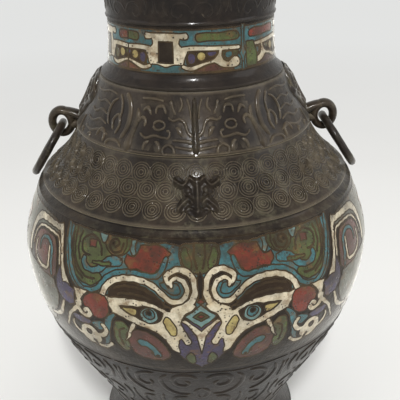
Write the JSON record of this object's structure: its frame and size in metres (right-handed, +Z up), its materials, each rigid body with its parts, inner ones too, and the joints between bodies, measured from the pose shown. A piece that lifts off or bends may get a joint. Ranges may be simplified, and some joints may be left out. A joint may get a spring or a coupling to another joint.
{
  "type": "footed urn",
  "caption": "Footed bronze urn with a round belly, champleve enamel masks, relief shoulder and two mask handles with loose rings.",
  "frame": {"origin": "centre of the foot's resting plane", "axes": "+Z up along the urn's axis, -Y the front with the enamel mask, +X and -X the two handles"},
  "size_m": [0.206, 0.206, 0.304],
  "materials": {
    "bronze": "dark brown patinated cast bronze, satin",
    "dark_bronze": "dark worn bronze, satin",
    "enamel_cream": "opaque cream enamel, polished, fine pits",
    "enamel_turquoise": "opaque turquoise enamel, polished, fine pits",
    "enamel_green": "opaque olive green enamel, polished, fine pits",
    "enamel_red": "opaque brick red enamel, polished, fine pits",
    "enamel_purple": "opaque violet enamel, polished, fine pits"
  },
  "bodies": {
    "urn": {"base_plate": "bronze", "belly": "bronze", "foot_ring": "bronze", "front_boss": "bronze", "front_brow_scroll_left": "enamel_turquoise", "front_brow_scroll_right": "enamel_turquoise", "front_cheek_left": "enamel_red", "front_cheek_right": "enamel_red", "front_crest": "enamel_green", "front_dragon_left": "enamel_green", "front_dragon_right": "enamel_green", "front_ear_left": "enamel_red", "front_ear_right": "enamel_red", "front_eye_left": "enamel_turquoise", "front_eye_right": "enamel_turquoise", "front_forehead_diamond": "enamel_turquoise", "front_mask_white_left": "enamel_cream", "front_mask_white_right": "enamel_cream", "front_nose_ridge": "enamel_purple", "front_red_field_left": "enamel_red", "front_red_field_right": "enamel_red", "left_frame_front": "enamel_cream", "left_frame_rear": "enamel_cream", "left_handle": "bronze", "left_lower_rivet": "bronze", "left_upper_rivet": "bronze", "neck": "bronze", "neck_mask_front": "enamel_cream", "neck_mask_left": "enamel_cream", "neck_mask_rear": "enamel_cream", "neck_mask_right": "enamel_cream", "rear_boss": "bronze", "rear_brow_scroll_left": "enamel_turquoise", "rear_brow_scroll_right": "enamel_turquoise", "rear_cheek_left": "enamel_red", "rear_cheek_right": "enamel_red", "rear_crest": "enamel_green", "rear_dragon_left": "enamel_green", "rear_dragon_right": "enamel_green", "rear_ear_left": "enamel_red", "rear_ear_right": "enamel_red", "rear_eye_left": "enamel_turquoise", "rear_eye_right": "enamel_turquoise", "rear_forehead_diamond": "enamel_turquoise", "rear_mask_white_left": "enamel_cream", "rear_mask_white_right": "enamel_cream", "rear_nose_ridge": "enamel_purple", "rear_red_field_left": "enamel_red", "rear_red_field_right": "enamel_red", "right_frame_front": "enamel_cream", "right_frame_rear": "enamel_cream", "right_handle": "bronze", "right_lower_rivet": "bronze", "right_upper_rivet": "bronze", "shoulder": "bronze", "upper_body": "bronze"},
    "right_ring": {"right_ring": "dark_bronze"},
    "left_ring": {"left_ring": "dark_bronze"}
  },
  "joints": [
    {"name": "right_ring_swing", "type": "hinge", "parent": "urn", "child": "right_ring", "pos_m": [0.0763, 0, 0.21151], "axis": [0, -1, 0], "range_deg": [0, 163]},
    {"name": "left_ring_swing", "type": "hinge", "parent": "urn", "child": "left_ring", "pos_m": [-0.0763, 0, 0.21151], "axis": [0, 1, 0], "range_deg": [0, 163]}
  ]
}
